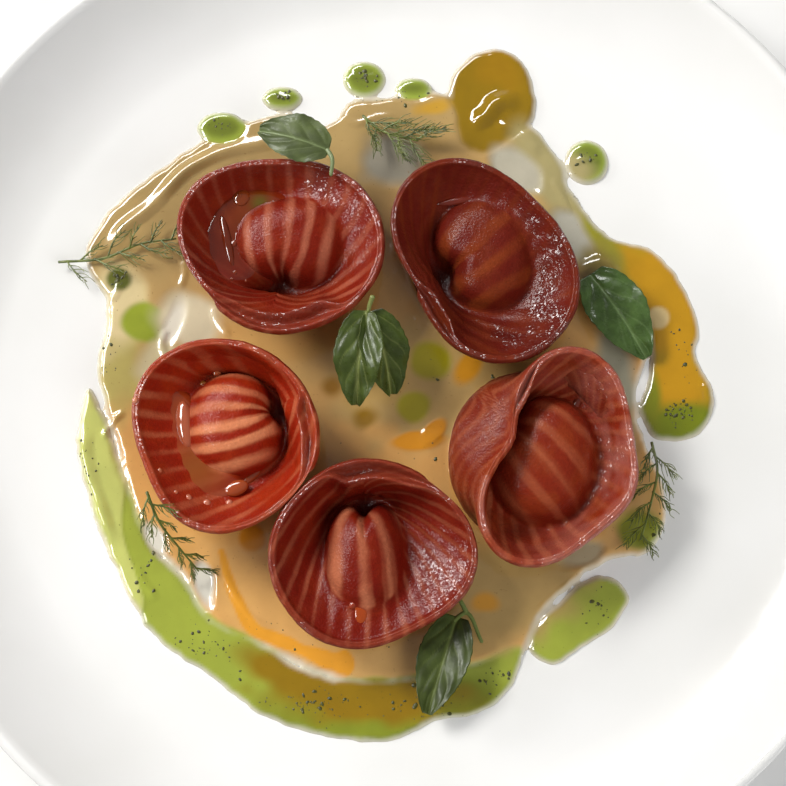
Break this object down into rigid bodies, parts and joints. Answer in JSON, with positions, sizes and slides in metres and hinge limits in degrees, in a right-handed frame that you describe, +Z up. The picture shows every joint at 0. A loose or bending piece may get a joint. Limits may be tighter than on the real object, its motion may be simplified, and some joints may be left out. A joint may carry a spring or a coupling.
{
  "type": "plated ravioli",
  "caption": "Hat-shaped ravioli of red and cream striped dough in a ring on a white plate, with cream sauce, green and amber oil, basil and dill.",
  "frame": {"origin": "centre of the plate's underside, on the surface it stands on", "axes": "+Z up, -Y towards the diner, the ring of ravioli seen from above with +X to the right"},
  "size_m": [0.28, 0.28, 0.0303],
  "materials": {
    "glaze": "gloss",
    "dough": "wet, red with cream stripes",
    "cream": "wet, smooth",
    "herb_oil": "wet, clear, with dark flecks",
    "amber_oil": "wet, clear",
    "basil": "satin, veined",
    "dill": "matt"
  },
  "bodies": {
    "root": {"plate": "glaze", "sauce": "cream", "oil_crescent": "herb_oil", "oil_lower_right": "herb_oil", "oil_drop_1": "herb_oil", "oil_drop_2": "herb_oil", "oil_drop_3": "herb_oil", "oil_drop_4": "herb_oil", "oil_drop_5": "herb_oil", "oil_right": "amber_oil", "oil_top": "amber_oil", "raviolo_1": "dough", "raviolo_2": "dough", "raviolo_3": "dough", "raviolo_4": "dough", "raviolo_5": "dough", "basil_1": "basil", "basil_2": "basil", "basil_3": "basil", "basil_4": "basil", "dill_1": "dill", "dill_2": "dill", "dill_3": "dill", "dill_4": "dill"}
  },
  "joints": []
}
